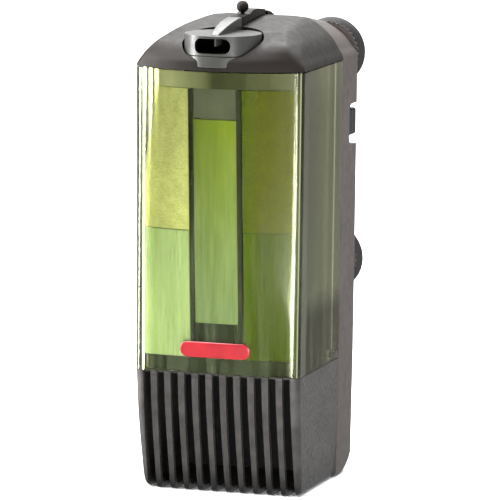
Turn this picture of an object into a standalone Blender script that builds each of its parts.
"""Internal aquarium power filter, modelled as an assembly of its separate pieces.

Lengths below are millimetres; MM turns them into metres when a mesh is made. The design frame has +Z up from
the base, X across and Y from the front corners towards the aquarium glass. The root empty then centres the
filter's footprint on the world's origin.
"""

import math

import bmesh
import bpy
from mathutils import Matrix, Vector

MM = 0.001

# Driving dimensions
WIDTH = 88.0  # housing, side to side at the grille
SEAM_Y = 68.8  # plane where the front units meet the rear holder
BACK_Y = 96.2  # rear face of the holder
GRILLE_TOP = 63.3  # seam between intake grille and canister
HEAD_Z = 218.5  # seam between canister and pump head; head heights are measured from here
GAP = 0.3  # clearance between pieces that touch
WALL = 2.2  # moulded wall
BOW_LOW = 1.2  # how far the front bulges at the canister's foot
BOW_HIGH = 10.6  # and at its top
CORNER_X = 4.8  # width of the rounded front corners
TOP_FLARE = 0.8  # extra half width at the canister's top
SLOTS = 11  # intake slots across the front
SLOT_PITCH = 7.45
SLOT_HALF = 1.95
NOZZLE_Y = 7.7  # nozzle and impeller axis
NOZZLE_R = 19.5
NOZZLE_LOW = 8.0  # above HEAD_Z
NOZZLE_HIGH = 18.0
LEVER_PIVOT_Y = 63.0
LEVER_REAR_Y = 65.0  # middle of the lever's rounded rear end
LEVER_FRONT_Y = 29.4
LEVER_HALF = 3.6
CUP_X = 28.0
CUP_ROWS = (219.2, 110.7)  # heights of the suction cups
CUP_R = 18.0
CUP_DEPTH = 6.3
HOLDER_DEPTH = 1.8  # toothed disc between holder and cup
MOTOR_HALF = 11.2  # motor housing, half width
MOTOR_FRONT_Y = -5.2
MOTOR_REAR_Y = 64.0
MOTOR_DROP = 24.3  # how far it hangs below the head
SPONGE_HALF = 40.2
RAIL_IN, RAIL_OUT = 11.6, 13.9  # the cartridge frame's rails, from the middle
RISER_BACK_Y = 7.3  # rear of the riser channel between the rails
PANEL_IN = 0.9  # how far the riser's front panel sits behind its rails
PANEL_FOOT_Z = 88.8
CUPS_BACK_Y = BACK_Y + GAP + HOLDER_DEPTH + GAP + CUP_DEPTH
Y_MID = (CUPS_BACK_Y + NOZZLE_Y - NOZZLE_R) / 2

# The dome in level slices: height above HEAD_Z, front at the middle, bow, end of the bow, half width, corner depth
DOME = (
    (GAP, -11.0, 10.9, 41.4, 45.0, 2.0),
    (2.6, -10.9, 10.9, 40.7, 44.2, 2.8),
    (5.5, -10.6, 10.7, 39.0, 42.4, 4.5),
    (8.0, -8.2, 8.6, 37.0, 41.0, 8.0),
    (10.7, -3.9, 5.2, 34.6, 39.2, 15.0),
    (13.0, 2.2, 2.4, 33.0, 37.3, 20.0),
    (15.0, 9.8, 1.2, 31.4, 35.2, 22.0),
    (16.7, 15.0, 0.8, 29.8, 33.2, 22.0),
    (18.3, 20.7, 0.6, 28.0, 31.0, 22.0),
    (19.5, 28.5, 0.5, 26.6, 29.3, 20.0),
    (20.7, 40.5, 0.4, 24.4, 26.9, 14.0),
    (21.6, 52.0, 0.3, 22.0, 24.2, 8.0),
    (22.1, 57.5, 0.2, 14.0, 16.0, 4.0),
)
# The grille in level slices: height, then as above
GRILLE = (
    (GRILLE_TOP - GAP, -1.2, 1.3, 39.2, 44.0, 3.5),
    (47.2, 0.2, 1.1, 39.0, 43.8, 3.6),
    (32.2, 2.6, 0.9, 38.8, 43.5, 3.6),
    (18.2, 5.4, 0.7, 38.6, 43.1, 3.6),
    (7.0, 7.8, 0.5, 38.3, 42.7, 3.8),
    (3.0, 8.8, 0.5, 37.9, 42.2, 4.1),
    (1.0, 9.9, 0.5, 36.9, 41.2, 4.6),
    (0.0, 11.6, 0.5, 35.2, 39.6, 5.4),
)
# The lever's side view: distance back, top and underside above HEAD_Z
LEVER = (
    (LEVER_FRONT_Y, 24.5, 20.1),
    (36.0, 24.9, 20.8),
    (41.5, 25.3, 21.4),
    (44.0, 26.2, 21.6),
    (47.5, 26.6, 21.9),
    (53.0, 26.6, 22.3),
    (58.5, 26.0, 22.6),
    (LEVER_REAR_Y, 25.1, 22.65),
)
# The nozzle's pointer fin: distance back, half width, top above HEAD_Z
FIN = ((-7.2, 2.0, 18.2), (-2.0, 2.5, 19.9), (5.0, 3.1, 21.8), (14.0, 3.5, 23.5), (22.0, 3.6, 24.4), (26.9, 3.6, 24.5))


# ---------------------------------------------------------------- materials


def material(name, colour, roughness, alpha=1.0, metallic=0.0):
    mat = bpy.data.materials.new(name)
    mat.use_nodes = True
    shader = mat.node_tree.nodes["Principled BSDF"]
    shader.inputs["Base Color"].default_value = (*colour, 1.0)
    shader.inputs["Roughness"].default_value = roughness
    shader.inputs["Metallic"].default_value = metallic
    shader.inputs["Alpha"].default_value = alpha
    return mat


def make_materials():
    return {
        "head": material("head_plastic", (0.13, 0.12, 0.11), 0.55),
        "holder": material("holder_plastic", (0.11, 0.10, 0.10), 0.6),
        "grille": material("grille_plastic", (0.035, 0.037, 0.036), 0.5),
        "nozzle": material("nozzle_plastic", (0.22, 0.22, 0.20), 0.45),
        "canister": material("green_clear_plastic", (0.25, 0.42, 0.12), 0.12, alpha=0.35),
        "sponge": material("filter_foam", (0.38, 0.46, 0.06), 0.95),
        "frame": material("frame_plastic", (0.03, 0.05, 0.03), 0.5),
        "motor": material("motor_plastic", (0.12, 0.15, 0.11), 0.6),
        "rubber": material("black_rubber", (0.02, 0.018, 0.018), 0.7),
        "badge": material("red_badge", (0.6, 0.05, 0.06), 0.35),
        "steel": material("steel", (0.6, 0.6, 0.6), 0.3, metallic=1.0),
        "copper": material("copper", (0.7, 0.3, 0.15), 0.35, metallic=1.0),
        "ceramic": material("ceramic", (0.85, 0.85, 0.82), 0.3),
        "magnet": material("ferrite", (0.05, 0.05, 0.055), 0.5),
    }


# ---------------------------------------------------------------- mesh tools


def ring_faces(bm, ring_a, ring_b):
    count = len(ring_a)
    for i in range(count):
        j = (i + 1) % count
        bm.faces.new((ring_a[i], ring_a[j], ring_b[j], ring_b[i]))


def loft(rings, capped=True):
    """A skin over closed rings of equal length, with flat ends, or joined back to its start."""
    bm = bmesh.new()
    made = [[bm.verts.new(point) for point in ring] for ring in rings]
    for ring_a, ring_b in zip(made, made[1:]):
        ring_faces(bm, ring_a, ring_b)
    if capped:
        bm.faces.new(made[0])
        bm.faces.new(list(reversed(made[-1])))
    else:
        ring_faces(bm, made[-1], made[0])
    bmesh.ops.recalc_face_normals(bm, faces=bm.faces)
    return bm


def at_height(points, z):
    return [(x, y, z) for x, y in points]


def circle(radius, count=32, centre=(0.0, 0.0)):
    turn = 2 * math.pi / count
    return [(centre[0] + radius * math.sin(i * turn), centre[1] - radius * math.cos(i * turn)) for i in range(count)]


def box(low, high, bevel=0.0):
    bm = bmesh.new()
    bmesh.ops.create_cube(bm, size=1.0)
    size = Vector(high) - Vector(low)
    middle = (Vector(high) + Vector(low)) / 2
    bm.transform(Matrix.Translation(middle) @ Matrix.Diagonal((*size, 1.0)))
    if bevel:
        bmesh.ops.bevel(bm, geom=bm.edges[:], offset=bevel, segments=2, profile=0.5, affect="EDGES")
    return bm


def cylinder(radius, low, high, x=0.0, y=0.0, count=32):
    circle_points = circle(radius, count, (x, y))
    return loft([at_height(circle_points, low), at_height(circle_points, high)])


def tube(outer, inner, low, high, x=0.0, y=0.0):
    """A ring between two outlines of equal length; a number stands for a circle."""
    outer = circle(outer, 32, (x, y)) if isinstance(outer, (int, float)) else outer
    inner = circle(inner, len(outer), (x, y))
    return loft([at_height(outer, low), at_height(outer, high), at_height(inner, high), at_height(inner, low)], False)


def turned(profile, count=32):
    """A body turned about Z from (radius, height) points that start and end on the axis."""
    bm = bmesh.new()
    rows = []
    for radius, height in profile:
        if radius == 0:
            rows.append([bm.verts.new((0, 0, height))])
        else:
            rows.append([bm.verts.new((x, y, height)) for x, y in circle(radius, count)])
    for row_a, row_b in zip(rows, rows[1:]):
        if len(row_a) == len(row_b):
            ring_faces(bm, row_a, row_b)
            continue
        pole, ring = (row_a[0], row_b) if len(row_a) == 1 else (row_b[0], row_a)
        for i in range(count):
            bm.faces.new((pole, ring[i], ring[(i + 1) % count]))
    bmesh.ops.recalc_face_normals(bm, faces=bm.faces)
    return bm


def merged(parts):
    """Several separate bodies as one tool."""
    whole = bmesh.new()
    for part in parts:
        mesh = bpy.data.meshes.new("part")
        part.to_mesh(mesh)
        part.free()
        whole.from_mesh(mesh)
        bpy.data.meshes.remove(mesh)
    return whole


def facing_back(bm, x, y, z):
    """Turns a body made about Z to lie along +Y, with its foot at the given point."""
    bm.transform(Matrix.Translation((x, y, z)) @ Matrix.Rotation(math.radians(-90), 4, "X"))
    return bm


def new_object(name, bm, parent=None, origin=(0, 0, 0), mat=None):
    """Makes an object from a mesh in the design frame, with its origin at the given point."""
    bm.transform(Matrix.Scale(MM, 4) @ Matrix.Translation(-Vector(origin)))
    mesh = bpy.data.meshes.new(name)
    bm.to_mesh(mesh)
    bm.free()
    obj = bpy.data.objects.new(name, mesh)
    bpy.context.scene.collection.objects.link(obj)
    obj.parent = parent
    base = Vector(parent["origin"]) if parent else Vector()
    obj.location = (Vector(origin) - base) * MM
    if mat:
        mesh.materials.append(mat)
        mesh.shade_smooth()
        mesh.set_sharp_from_angle(angle=math.radians(30))
    return obj


def apply_tool(obj, bm, operation):
    """Cuts a helper body out of an object, or joins it on."""
    helper = new_object(f"{obj.name}_{operation.lower()}_{len(obj.modifiers)}", bm, obj.parent)
    helper.location = -Vector(obj.parent["origin"]) * MM
    helper.hide_render = True
    helper.display_type = "WIRE"
    boolean = obj.modifiers.new(operation.title(), "BOOLEAN")
    boolean.operation = operation
    boolean.object = helper


def cut(obj, bm):
    apply_tool(obj, bm, "DIFFERENCE")


def join(obj, bm):
    apply_tool(obj, bm, "UNION")


def group(name, origin, parent=None):
    """An empty that carries the pieces of one moving body, on its joint's axis."""
    empty = bpy.data.objects.new(name, None)
    bpy.context.scene.collection.objects.link(empty)
    empty["origin"] = origin
    empty.parent = parent
    base = Vector(parent["origin"]) if parent else Vector()
    empty.location = (Vector(origin) - base) * MM
    return empty


# ---------------------------------------------------------------- outlines


def bow_at(z):
    """How far the front bulges at a height of the canister."""
    return BOW_LOW + (BOW_HIGH - BOW_LOW) * (z - GRILLE_TOP) / (HEAD_Z - GRILLE_TOP)


def front_outline(front, bow, bow_end, half, corner, inset=0.0, bow_steps=7, corner_steps=5):
    """Plan points from the left side round the bowed front to the right side."""
    front, bow_end, half = front + inset, bow_end - 0.6 * inset, half - inset
    right = [(bow_end * i / bow_steps, front + bow * (i / bow_steps) ** 2) for i in range(bow_steps + 1)]
    start = Vector(right[-1])
    bend = Vector((half, start.y + (half - start.x) * 2 * bow / bow_end))
    end = Vector((half, bend.y + corner))
    for i in range(1, corner_steps + 1):
        t = i / corner_steps
        weights = ((1 - t) ** 2, 1.4 * t * (1 - t), t**2)
        point = (start * weights[0] + bend * weights[1] + end * weights[2]) / sum(weights)
        right.append(tuple(point))
    left = [(-x, y) for x, y in reversed(right[1:])]
    return left + right


def canister_outline(z, inset=0.0):
    """The canister widens a little and its corners tighten towards the top."""
    rise = (z - GRILLE_TOP) / (HEAD_Z - GRILLE_TOP)
    half = WIDTH / 2 + TOP_FLARE * rise
    return front_outline(-bow_at(z), bow_at(z), half - CORNER_X + 1.2 * rise, half, 3.5 - 1.3 * rise, inset)


def levels(low, high, count):
    return [low + (high - low) * i / count for i in range(count + 1)]


def closed_at(points, rear):
    """The outline with its two ends carried straight back to the rear."""
    return [(points[0][0], rear), *points, (points[-1][0], rear)]


def band(z, outer_inset, inner_inset, rear):
    """A U-shaped wall in plan, open to the rear."""
    outer = closed_at(canister_outline(z, outer_inset), rear)
    inner = closed_at(canister_outline(z, inner_inset), rear)
    return at_height(outer + list(reversed(inner)), z)


def arch_outline(inset=0.0, squash=1.0, foot=0.0):
    """Front view of the rear holder: straight sides under the dome's arch."""
    foot_x = WIDTH / 2 - 0.8 - inset
    side = [(foot_x - 2.0, foot), (foot_x, foot + 2.0), (WIDTH / 2 - inset, GRILLE_TOP), (WIDTH / 2 + TOP_FLARE - inset, HEAD_Z)]
    arch = []
    for dz, *_, half, corner in DOME[2:]:
        arch.append((max(half - inset, 6.0), HEAD_Z + dz * squash - inset * min(dz / 8, 1)))
    right = side + arch
    return right + [(-x, z) for x, z in reversed(right)]


# ---------------------------------------------------------------- rear holder


def holder_section(y, inset=0.0, extra=0.0):
    """One slice of the holder: its top falls and its foot rises towards the rear."""
    squash = 1.0 - 0.0072 * (y - SEAM_Y)
    reach = min(max((y - 77.0) / 19.4, 0.0), 0.999)
    foot = 12.0 * (1 - math.sqrt(1 - reach**2)) + extra
    return [(x, y, z) for x, z in arch_outline(inset, squash, foot)]


def make_holder(root, mats):
    front = SEAM_Y + GAP
    stations = ((front, 0), (77.0, 0), (83.0, 0), (88.0, 0), (93.0, 0), (94.9, 0.2), (95.8, 0.7), (BACK_Y, 1.4))
    plate = new_object("back_plate", loft([holder_section(y, i) for y, i in stations]), root, mat=mats["holder"])
    cut(plate, box((33.0, 82.0, 172.7), (60.0, 120.0, 194.2), bevel=4.0))
    hollow = ((front - 8, 2.4), (82.6, 2.4), (88.0, 2.6), (BACK_Y - 2.4, 4.0))
    cut(plate, loft([holder_section(y, i, 2.4) for y, i in hollow]))
    spots = [(side * CUP_X, row) for row in CUP_ROWS for side in (-1, 1)]
    cut(plate, merged(facing_back(cylinder(5.2, 0, 12, count=24), x, BACK_Y - 6, z) for x, z in spots))
    gland = new_object("cable_gland", box((34.3, 84.5, 177.2), (43.6, 97.9, 191.2), bevel=1.0), root, mat=mats["rubber"])
    cut(gland, facing_back(cylinder(2.6, 0, 12, count=16), 39.0, 91.0, 184.2))


def make_cups(root, mats):
    """Four suction cups, each on a hard disc that plugs into the holder's rear face."""
    disc = ((0, -3.2), (4.8, -3.2), (4.8, 0), (14.0, 0), (16.5, 0.8), (16.5, HOLDER_DEPTH), (0, HOLDER_DEPTH))
    cup = ((0, 0), (7, 0), (9, 1.0), (15.5, 3.0), (CUP_R, CUP_DEPTH), (17.0, CUP_DEPTH), (14, 4.4), (6, 2.6), (0, 2.2))
    for level, row in zip(("upper", "lower"), CUP_ROWS):
        for side, word in ((-1, "left"), (1, "right")):
            foot = BACK_Y + GAP
            bm = facing_back(turned(disc), side * CUP_X, foot, row)
            new_object(f"cup_holder_{level}_{word}", bm, root, mat=mats["holder"])
            foot += HOLDER_DEPTH + GAP
            bm = facing_back(turned(cup), side * CUP_X, foot, row)
            new_object(f"suction_cup_{level}_{word}", bm, root, mat=mats["rubber"])


# ---------------------------------------------------------------- pump head


def dome_layers(inset, rear, drop=0.0):
    rings = []
    for dz, front, bow, bow_end, half, corner in DOME:
        points = front_outline(front, bow, bow_end, half, corner, inset)
        rings.append(at_height(closed_at(points, rear), HEAD_Z + dz - drop))
    return rings


SCREW_SPOTS = ((-24.0, 41.0, 18.9), (24.0, 41.0, 18.9), (-24.0, 60.0, 19.6), (24.0, 60.0, 19.6))


def make_cover(root, mats):
    rear = SEAM_Y - 0.15
    cover = new_object("pump_head_cover", loft(dome_layers(0.0, rear)), root, mat=mats["head"])
    hollow = dome_layers(2.4, rear - WALL, drop=2.0)
    hollow.insert(0, [(x, y, z - 2.0) for x, y, z in hollow[0]])
    cut(cover, loft(hollow))
    join(cover, merged(cylinder(3.6, HEAD_Z + 3.4, HEAD_Z + top, x, y, 16) for x, y, top in SCREW_SPOTS))
    cut(cover, merged(cylinder(1.6, HEAD_Z + 2.0, HEAD_Z + 12.0, x, y, 12) for x, y, top in SCREW_SPOTS))
    seat = ((0, 1.8), (NOZZLE_R + 0.4, 1.8), (NOZZLE_R + 0.4, 7.9), (NOZZLE_R + 1.2, 7.9), (NOZZLE_R + 1.2, 40), (0, 40))
    well = turned(seat, 64)
    well.transform(Matrix.Translation((0, NOZZLE_Y, HEAD_Z)))
    cut(cover, well)
    cut(cover, cylinder(1.7, HEAD_Z + 15, HEAD_Z + 30, y=LEVER_PIVOT_Y, count=24))
    cap = [(69.1, 24.3), (73.0, 23.7), (77.0, 22.7), (80.0, 21.7), (81.6, 21.1), (81.6, 20.4), (69.1, 22.5)]
    rings = [[(x, y, HEAD_Z + dz) for y, dz in cap] for x in (-LEVER_HALF, LEVER_HALF)]
    new_object("lever_end_cap", loft(rings), root, mat=mats["head"])


def make_nozzle_cup(root, mats):
    """The fixed cup under the nozzle: its front is the chin, and the impeller turns inside it."""
    low, high = HEAD_Z + 2.1, HEAD_Z + NOZZLE_LOW - 0.4
    cup = new_object("nozzle_cup", cylinder(NOZZLE_R, low, high, y=NOZZLE_Y, count=64), root, mat=mats["nozzle"])
    cut(cup, cylinder(15.6, low + 1.0, high + 5, y=NOZZLE_Y, count=48))
    cut(cup, cylinder(12.0, low - 5, low + 5, y=NOZZLE_Y, count=32))
    cut(cup, tube(18.2, 16.4, high - 1.3, high + 3, y=NOZZLE_Y))
    new_object("nozzle_seal", tube(17.8, 16.8, high - 1.0, high + 0.1, y=NOZZLE_Y), root, mat=mats["rubber"])
    cover = tube(15.2, 2.9, high - 0.9, high, y=NOZZLE_Y)
    plate = new_object("impeller_cover", cover, root, mat=mats["motor"])
    spots = circle(9.5, 6, (0, NOZZLE_Y))
    cut(plate, merged(cylinder(2.8, high - 5, high + 5, x, y, 12) for x, y in spots))
    bush = tube(2.6, 1.1, high - 1.0, high + 0.1, y=NOZZLE_Y)
    new_object("shaft_bush_upper", bush, root, mat=mats["ceramic"])


def make_nozzle(root, mats):
    axis = (0, NOZZLE_Y, HEAD_Z + NOZZLE_LOW)
    holder = group("nozzle_axis", axis, root)
    low, high = HEAD_Z + NOZZLE_LOW, HEAD_Z + NOZZLE_HIGH
    drum = cylinder(NOZZLE_R, low, high, y=NOZZLE_Y, count=64)
    nozzle = new_object("outlet_nozzle", drum, holder, axis, mats["nozzle"])
    cut(nozzle, cylinder(NOZZLE_R - 2.0, low - 5, high - 1.2, y=NOZZLE_Y, count=48))
    cut(nozzle, box((-9.4, -20, low + 1.1), (9.4, -3, high - 1.2), bevel=3.4))
    join(nozzle, box((1.6, -11.0, low + 5.0), (2.5, 2.0, high - 0.6)))
    rings = [[(-w, y, high - 0.6), (w, y, high - 0.6), (w, y, HEAD_Z + t), (-w, y, HEAD_Z + t)] for y, w, t in FIN]
    join(nozzle, loft(rings))


def make_lever(root, mats):
    pivot = (0, LEVER_PIVOT_Y, HEAD_Z + 22)
    holder = group("lever_axis", pivot, root)
    tops = [(y, HEAD_Z + top) for y, top, under in LEVER]
    unders = [(y, HEAD_Z + under) for y, top, under in LEVER]
    profile = tops + list(reversed(unders))
    sides = [[(x, y, z) for y, z in profile] for x in (-LEVER_HALF, LEVER_HALF)]
    lever = new_object("regulator_lever", loft(sides), holder, pivot, mats["head"])
    join(lever, cylinder(LEVER_HALF - 0.05, HEAD_Z + 22.65, HEAD_Z + 25.0, y=LEVER_REAR_Y, count=24))
    pin_y = LEVER_PIVOT_Y
    cut(lever, cylinder(1.4, HEAD_Z + 15, HEAD_Z + 24.2, y=pin_y, count=16))
    cut(lever, cylinder(1.3, HEAD_Z + 23.4, HEAD_Z + 40, y=38.9, count=16))
    knob = turned(((0, -5.2), (1.0, -5.2), (1.0, -3.0), (1.9, -2.8), (2.8, -1.5), (3.15, 0), (2.8, 1.5), (1.8, 2.6), (0, 3.1)), 24)
    knob.transform(Matrix.Translation((0, 38.9, HEAD_Z + 28.7)))
    new_object("lever_knob", knob, holder, pivot, mats["head"])
    new_object("lever_pivot_pin", cylinder(1.1, HEAD_Z + 12.6, HEAD_Z + 23.9, y=pin_y, count=16), holder, pivot, mats["steel"])
    shutter = box((-2.5, 30.5, HEAD_Z + 13.0), (2.5, pin_y, HEAD_Z + 15.0))
    shutter = new_object("flow_shutter", shutter, holder, pivot, mats["motor"])
    join(shutter, cylinder(2.9, HEAD_Z + 13.0, HEAD_Z + 15.0, y=pin_y, count=24))
    join(shutter, box((-8.0, 30.0, HEAD_Z + 9.0), (8.0, 31.6, HEAD_Z + 15.0)))
    cut(shutter, cylinder(1.4, HEAD_Z + 5, HEAD_Z + 20, y=pin_y, count=16))


# ---------------------------------------------------------------- motor and pump


def make_motor(root, mats):
    base, roof = HEAD_Z - MOTOR_DROP, HEAD_Z + 1.6
    block = box((-MOTOR_HALF, MOTOR_FRONT_Y, base), (MOTOR_HALF, MOTOR_REAR_Y, roof))
    housing = new_object("motor_housing", block, root, mat=mats["motor"])
    join(housing, box((-30, 29.5, HEAD_Z + 0.6), (30, 65.6, HEAD_Z + 3.0)))
    cut(housing, cylinder(6.2, base + 6.8, roof + 9, y=NOZZLE_Y, count=24))
    cut(housing, cylinder(3.2, base + 3.4, base + 8, y=NOZZLE_Y, count=16))
    cut(housing, box((-7.0, -4.2, base - 5), (7.0, -0.2, roof + 5)))
    cut(housing, box((-10.1, 28.0, base + 2), (10.1, 62.8, roof + 9)))
    for side in (-1, 1):
        inner, outer = sorted((side * 7.0, side * 10.1))
        cut(housing, box((inner, 1.0, base + 4.6), (outer, 30.0, roof + 9)))
    cut(housing, merged(cylinder(1.7, HEAD_Z - 5, HEAD_Z + 9, x, y, 12) for x, y, top in SCREW_SPOTS))
    lid = box((-12.5, 27.8, HEAD_Z + 3.3), (12.5, 64.5, HEAD_Z + 5.0))
    new_object("motor_lid", lid, root, mat=mats["motor"])
    core_low, core_high = base + 6.0, base + 18.0
    core = new_object("stator_core", box((-9.8, 2.0, core_low), (9.8, 56.3, core_high)), root, mat=mats["steel"])
    cut(core, box((-7.3, -9.0, core_low - 5), (7.3, 51.7, core_high + 5)))
    coil = new_object("coil", box((-6.6, 46.0, core_low - 3.2), (6.6, 61.8, core_high + 3.2)), root, mat=mats["copper"])
    cut(coil, box((-20, 51.4, core_low - 0.3), (20, 56.6, core_high + 0.3)))
    new_object("shaft_bush_lower", tube(2.9, 1.1, base + 3.7, base + 6.2, y=NOZZLE_Y), root, mat=mats["ceramic"])
    for i, (x, y, top) in enumerate(SCREW_SPOTS):
        head = turned(((0, -1.8), (2.4, -1.8), (2.8, -0.2), (1.3, -0.2), (1.3, 8.4), (0, 8.4)), 16)
        head.transform(Matrix.Translation((x, y, HEAD_Z + 0.4)))
        new_object(f"motor_screw_{i + 1}", head, root, mat=mats["steel"])


def make_impeller(root, mats):
    """The turning parts of the pump: magnet, shaft and impeller on one axis."""
    base = HEAD_Z - MOTOR_DROP
    axis = (0, NOZZLE_Y, base + 14)
    holder = group("impeller_axis", axis, root)
    magnet = tube(5.0, 1.2, base + 7.4, base + 21.6, y=NOZZLE_Y)
    new_object("rotor_magnet", magnet, holder, axis, mats["magnet"])
    shaft = cylinder(1.0, base + 3.9, HEAD_Z + 7.3, y=NOZZLE_Y, count=16)
    new_object("impeller_shaft", shaft, holder, axis, mats["ceramic"])
    blades = []
    for i in range(48):
        angle = i * math.pi / 24
        radius = 13.3 if i % 8 < 2 else 4.6
        blades.append((radius * math.sin(angle), NOZZLE_Y - radius * math.cos(angle)))
    impeller = tube(blades, 1.2, HEAD_Z + 3.5, HEAD_Z + 6.2, y=NOZZLE_Y)
    new_object("impeller", impeller, holder, axis, mats["nozzle"])


def make_lead(root, mats):
    """The insulated lead from the motor to the gland, inside the holder."""
    route = ((0, 64.4, 204), (0, 70, 204), (3, 76, 203), (10, 80, 199), (18, 82, 193), (25, 84, 188), (30, 86, 185.2), (33.3, 86.6, 184.5))
    curve = bpy.data.curves.new("motor_lead", "CURVE")
    curve.dimensions = "3D"
    curve.bevel_depth = 1.8 * MM
    curve.bevel_resolution = 2
    curve.use_fill_caps = True
    line = curve.splines.new("POLY")
    line.points.add(len(route) - 1)
    for point, (x, y, z) in zip(line.points, route):
        point.co = (x * MM, y * MM, z * MM, 1)
    curve.materials.append(mats["rubber"])
    obj = bpy.data.objects.new("motor_lead", curve)
    bpy.context.scene.collection.objects.link(obj)
    obj.parent = root


# ---------------------------------------------------------------- canister unit


def make_canister(root, mats):
    unit = group("canister_unit", (0, 0, 0), root)
    low, high = GRILLE_TOP, HEAD_Z - GAP
    rear = SEAM_Y - 0.15
    shell = loft([band(z, 0, 2.0, rear) for z in levels(low, high, 5)])
    canister = new_object("canister", shell, unit, mat=mats["canister"])
    for side in (-1, 1):
        inner, outer = sorted((side * 38.0, side * 50.0))
        cut(canister, box((inner, 62.6, low - 5), (outer, 75.0, low + 4.4)))
    rim = loft([band(z, 2.3, 3.5, rear - 1) for z in (high - 8.6, high - 0.2)])
    new_object("canister_rim", rim, unit, mat=mats["frame"])

    rings = [at_height(closed_at(front_outline(*layer[1:]), rear), layer[0]) for layer in GRILLE]
    grille = new_object("intake_grille", loft(rings), unit, mat=mats["grille"])
    inner = [at_height(closed_at(front_outline(*layer[1:], 2.3), rear - WALL), layer[0] + 2.6) for layer in GRILLE]
    inner.insert(0, [(x, y, z + 8) for x, y, z in inner[0]])
    cut(grille, loft(inner))
    middles = [(i - (SLOTS - 1) / 2) * SLOT_PITCH for i in range(SLOTS)]
    top = GRILLE_TOP - 4.3
    cut(grille, merged(box((x - SLOT_HALF, -9.0, -5.0), (x + SLOT_HALF, 24.0, top)) for x in middles))

    rest_z = GRILLE_TOP + GAP
    rest_ring = closed_at(canister_outline(rest_z, WIDTH / 2 - SPONGE_HALF), 66.0)
    rest = loft([at_height(rest_ring, rest_z), at_height(rest_ring, rest_z + 7.0)])
    rest = new_object("sponge_rest", rest, unit, mat=mats["frame"])
    middles = [(i - 2) * 15.0 for i in range(5)]
    cut(rest, merged(box((x - 5.5, 8.0, rest_z - 5), (x + 5.5, 62.0, rest_z + 12)) for x in middles))

    badge_low, badge_high = 71.6, 79.6
    rings = []
    for z in (badge_low, badge_high):
        bow = bow_at(z)
        xs = [-18.7 + 37.4 * i / 10 for i in range(11)]
        ys = [-bow + bow * (x / (WIDTH / 2 - CORNER_X)) ** 2 - GAP for x in xs]
        front = [(x, y - 0.8) for x, y in zip(xs, ys)]
        rings.append(at_height(front + list(reversed(list(zip(xs, ys)))), z))
    new_object("badge", loft(rings), unit, mat=mats["badge"])
    return unit


def make_latches(root, mats):
    for side, word in ((-1, "left"), (1, "right")):
        origin = (side * 43.0, 65.5, GRILLE_TOP + 2)
        inner, outer = sorted((side * 42.2, side * 43.9))
        tab = box((inner, 62.9, GRILLE_TOP + 0.3), (outer, 68.5, GRILLE_TOP + 4.1), bevel=0.3)
        new_object(f"canister_latch_{word}", tab, group(f"latch_axis_{word}", origin, root), origin, mats["grille"])


def wall_y(x, z):
    """Where the cartridge comes closest to the canister's bowed front."""
    bow = bow_at(z)
    return -bow + bow * (x / (WIDTH / 2 - CORNER_X)) ** 2 + 2.4


def sponge_ring(z):
    """A sponge's plan, with a recess at the front for the riser channel."""
    points = canister_outline(z, 2.9)
    edge = RAIL_OUT + 0.4
    left = [(max(x, -SPONGE_HALF), y) for x, y in points if x < -edge]
    right = [(min(x, SPONGE_HALF), y) for x, y in points if x > edge]
    notch = [(-edge, left[-1][1]), (-edge, RISER_BACK_Y + 0.4), (edge, RISER_BACK_Y + 0.4), (edge, right[0][1])]
    return at_height(closed_at(left + notch + right, 65.8), z)


def make_cartridge(unit, mats):
    low, split, high = GRILLE_TOP + 7.7, 136.5, HEAD_Z - 9.4
    lower = loft([sponge_ring(z) for z in levels(low, split - 0.2, 2)])
    new_object("lower_sponge", lower, unit, mat=mats["sponge"])
    upper = loft([sponge_ring(z) for z in levels(split + 0.2, high, 2)])
    upper = new_object("upper_sponge", upper, unit, mat=mats["sponge"])
    slot = MOTOR_HALF + 0.6
    cut(upper, box((-slot, -20, HEAD_Z - MOTOR_DROP - 0.5), (slot, 80, HEAD_Z + 5)))

    rings = []
    for z in (low, high):
        middle, edge, rail = (wall_y(x, z) for x in (0.0, RAIL_IN, RAIL_OUT))
        right = [(RAIL_IN, edge + PANEL_IN), (RAIL_IN, edge), (RAIL_OUT, rail), (RAIL_OUT, RISER_BACK_Y)]
        right += [(RAIL_IN, RISER_BACK_Y), (RAIL_IN, edge + PANEL_IN + 1.4)]
        left = [(-x, y) for x, y in reversed(right)]
        rings.append(at_height([(0, middle + PANEL_IN), *right, (0, middle + PANEL_IN + 1.4), *left], z))
    frame = new_object("cartridge_frame", loft(rings), unit, mat=mats["frame"])
    cut(frame, box((-RAIL_IN, -20, HEAD_Z - MOTOR_DROP - 0.5), (RAIL_IN, 20, HEAD_Z + 5)))
    cut(frame, box((-RAIL_IN, -20, low + 3.0), (RAIL_IN, 20, PANEL_FOOT_Z)))
    join(frame, box((-9.6, 1.2, low + 1.5), (9.6, 3.4, PANEL_FOOT_Z + 1.2)))


def main():
    for obj in list(bpy.data.objects):
        bpy.data.objects.remove(obj)
    mats = make_materials()
    root = group("filter", (0, 0, 0))
    root.location = (0, -Y_MID * MM, 0)
    make_holder(root, mats)
    make_cups(root, mats)
    make_cover(root, mats)
    make_nozzle_cup(root, mats)
    make_nozzle(root, mats)
    make_lever(root, mats)
    make_motor(root, mats)
    make_impeller(root, mats)
    make_lead(root, mats)
    unit = make_canister(root, mats)
    make_latches(unit, mats)
    make_cartridge(unit, mats)


main()
